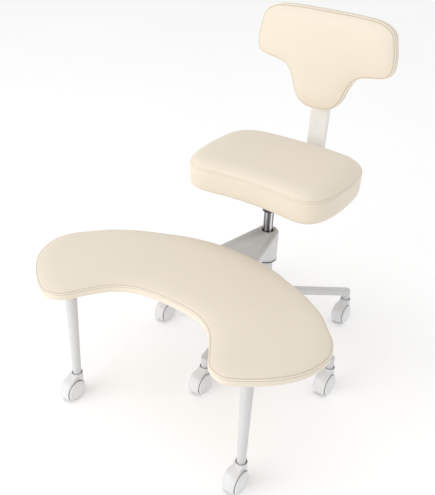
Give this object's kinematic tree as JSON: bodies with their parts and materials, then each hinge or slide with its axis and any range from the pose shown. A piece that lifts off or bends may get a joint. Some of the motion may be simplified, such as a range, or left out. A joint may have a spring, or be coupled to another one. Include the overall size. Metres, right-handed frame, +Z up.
{
  "type": "cross-legged office chair",
  "caption": "Height-adjustable swivel chair on a castered star base, with a crescent footrest that swings round the column on castered legs.",
  "frame": {"origin": "on the floor, on the axis of the column", "axes": "+Z up, -Y the way the sitter faces, +X to the sitter's left"},
  "size_m": [0.81, 0.894, 0.9367],
  "materials": {
    "base_paint": "semi-gloss",
    "column_paint": "semi-gloss",
    "bar_paint": "semi-gloss",
    "chrome": "polished",
    "steel": "satin",
    "bush_plastic": "matte",
    "mechanism_paint": "satin",
    "plywood": "raw",
    "upholstery": "soft grain",
    "caster_plastic": "semi-gloss",
    "wheel_plastic": "semi-gloss"
  },
  "bodies": {
    "base": {"star_base": "base_paint", "column_tube": "column_paint", "guide_bush": "bush_plastic", "base_stems": "steel"},
    "spindle": {"piston_rod": "steel", "thrust_bearing": "steel", "rod_clip": "steel"},
    "seat": {"gas_cylinder": "chrome", "seat_mechanism": "mechanism_paint", "seat_board": "plywood", "seat_cushion": "upholstery", "mechanism_screws": "steel", "back_bar": "bar_paint", "bar_screws": "steel", "back_board": "plywood", "back_cushion": "upholstery", "back_screws": "steel"},
    "lever": {"lift_lever": "steel", "lever_grip": "bush_plastic"},
    "pin": {"release_pin": "steel"},
    "footrest": {"swing_arm": "column_paint", "upper_swing_bush": "bush_plastic", "lower_swing_bush": "bush_plastic", "swing_washer": "bush_plastic", "footrest_board": "plywood", "footrest_cushion": "upholstery", "footrest_screws": "steel", "leg_plates": "column_paint", "leg_screws": "steel", "left_leg": "base_paint", "right_leg": "base_paint", "leg_stems": "steel"},
    "caster_1": {"caster_1_hood": "caster_plastic", "caster_1_axle": "steel"},
    "caster_1_left": {"caster_1_left_wheel": "wheel_plastic"},
    "caster_1_right": {"caster_1_right_wheel": "wheel_plastic"},
    "caster_2": {"caster_2_hood": "caster_plastic", "caster_2_axle": "steel"},
    "caster_2_left": {"caster_2_left_wheel": "wheel_plastic"},
    "caster_2_right": {"caster_2_right_wheel": "wheel_plastic"},
    "caster_3": {"caster_3_hood": "caster_plastic", "caster_3_axle": "steel"},
    "caster_3_left": {"caster_3_left_wheel": "wheel_plastic"},
    "caster_3_right": {"caster_3_right_wheel": "wheel_plastic"},
    "caster_4": {"caster_4_hood": "caster_plastic", "caster_4_axle": "steel"},
    "caster_4_left": {"caster_4_left_wheel": "wheel_plastic"},
    "caster_4_right": {"caster_4_right_wheel": "wheel_plastic"},
    "caster_5": {"caster_5_hood": "caster_plastic", "caster_5_axle": "steel"},
    "caster_5_left": {"caster_5_left_wheel": "wheel_plastic"},
    "caster_5_right": {"caster_5_right_wheel": "wheel_plastic"},
    "caster_6": {"caster_6_hood": "caster_plastic", "caster_6_axle": "steel"},
    "caster_6_left": {"caster_6_left_wheel": "wheel_plastic"},
    "caster_6_right": {"caster_6_right_wheel": "wheel_plastic"},
    "caster_7": {"caster_7_hood": "caster_plastic", "caster_7_axle": "steel"},
    "caster_7_left": {"caster_7_left_wheel": "wheel_plastic"},
    "caster_7_right": {"caster_7_right_wheel": "wheel_plastic"}
  },
  "joints": [
    {"name": "seat_swivel", "type": "hinge", "parent": "base", "child": "spindle", "pos_m": [0, 0, 0.068], "axis": [0, 0, 1], "continuous": true},
    {"name": "seat_lift", "type": "slide", "parent": "spindle", "child": "seat", "axis": [0, 0, 1], "range_m": [-0.055, 0.045]},
    {"name": "lever_press", "type": "hinge", "parent": "seat", "child": "lever", "pos_m": [-0.04, 0, 0.484], "axis": [0, 1, 0], "range_deg": [0, 3.6], "stiffness_Nm_per_rad": 2},
    {"name": "pin_press", "type": "slide", "parent": "seat", "child": "pin", "axis": [0, 0, 1], "range_m": [-0.0028, 0]},
    {"name": "footrest_swing", "type": "hinge", "parent": "base", "child": "footrest", "pos_m": [0, 0, 0.3], "axis": [0, 0, 1], "continuous": true},
    {"name": "caster_1_swivel", "type": "hinge", "parent": "base", "child": "caster_1", "pos_m": [0, -0.294, 0.058], "axis": [0, 0, 1], "continuous": true},
    {"name": "caster_1_left_spin", "type": "hinge", "parent": "caster_1", "child": "caster_1_left", "pos_m": [0, -0.316, 0.029], "axis": [1, 0, 0], "continuous": true},
    {"name": "caster_1_right_spin", "type": "hinge", "parent": "caster_1", "child": "caster_1_right", "pos_m": [0, -0.316, 0.029], "axis": [1, 0, 0], "continuous": true},
    {"name": "caster_2_swivel", "type": "hinge", "parent": "base", "child": "caster_2", "pos_m": [0.27961, -0.09085, 0.058], "axis": [0, 0, 1], "continuous": true},
    {"name": "caster_2_left_spin", "type": "hinge", "parent": "caster_2", "child": "caster_2_left", "pos_m": [0.27961, -0.11285, 0.029], "axis": [1, 0, 0], "continuous": true},
    {"name": "caster_2_right_spin", "type": "hinge", "parent": "caster_2", "child": "caster_2_right", "pos_m": [0.27961, -0.11285, 0.029], "axis": [1, 0, 0], "continuous": true},
    {"name": "caster_3_swivel", "type": "hinge", "parent": "base", "child": "caster_3", "pos_m": [0.17281, 0.23785, 0.058], "axis": [0, 0, 1], "continuous": true},
    {"name": "caster_3_left_spin", "type": "hinge", "parent": "caster_3", "child": "caster_3_left", "pos_m": [0.17281, 0.21585, 0.029], "axis": [1, 0, 0], "continuous": true},
    {"name": "caster_3_right_spin", "type": "hinge", "parent": "caster_3", "child": "caster_3_right", "pos_m": [0.17281, 0.21585, 0.029], "axis": [1, 0, 0], "continuous": true},
    {"name": "caster_4_swivel", "type": "hinge", "parent": "base", "child": "caster_4", "pos_m": [-0.17281, 0.23785, 0.058], "axis": [0, 0, 1], "continuous": true},
    {"name": "caster_4_left_spin", "type": "hinge", "parent": "caster_4", "child": "caster_4_left", "pos_m": [-0.17281, 0.21585, 0.029], "axis": [1, 0, 0], "continuous": true},
    {"name": "caster_4_right_spin", "type": "hinge", "parent": "caster_4", "child": "caster_4_right", "pos_m": [-0.17281, 0.21585, 0.029], "axis": [1, 0, 0], "continuous": true},
    {"name": "caster_5_swivel", "type": "hinge", "parent": "base", "child": "caster_5", "pos_m": [-0.27961, -0.09085, 0.058], "axis": [0, 0, 1], "continuous": true},
    {"name": "caster_5_left_spin", "type": "hinge", "parent": "caster_5", "child": "caster_5_left", "pos_m": [-0.27961, -0.11285, 0.029], "axis": [1, 0, 0], "continuous": true},
    {"name": "caster_5_right_spin", "type": "hinge", "parent": "caster_5", "child": "caster_5_right", "pos_m": [-0.27961, -0.11285, 0.029], "axis": [1, 0, 0], "continuous": true},
    {"name": "caster_6_swivel", "type": "hinge", "parent": "footrest", "child": "caster_6", "pos_m": [-0.263, -0.521, 0.058], "axis": [0, 0, 1], "continuous": true},
    {"name": "caster_6_left_spin", "type": "hinge", "parent": "caster_6", "child": "caster_6_left", "pos_m": [-0.263, -0.543, 0.029], "axis": [1, 0, 0], "continuous": true},
    {"name": "caster_6_right_spin", "type": "hinge", "parent": "caster_6", "child": "caster_6_right", "pos_m": [-0.263, -0.543, 0.029], "axis": [1, 0, 0], "continuous": true},
    {"name": "caster_7_swivel", "type": "hinge", "parent": "footrest", "child": "caster_7", "pos_m": [0.263, -0.521, 0.058], "axis": [0, 0, 1], "continuous": true},
    {"name": "caster_7_left_spin", "type": "hinge", "parent": "caster_7", "child": "caster_7_left", "pos_m": [0.263, -0.543, 0.029], "axis": [1, 0, 0], "continuous": true},
    {"name": "caster_7_right_spin", "type": "hinge", "parent": "caster_7", "child": "caster_7_right", "pos_m": [0.263, -0.543, 0.029], "axis": [1, 0, 0], "continuous": true}
  ],
  "couplings": [
    {"joint": "pin_press", "follows": "lever_press", "m_per_rad": -0.043}
  ]
}
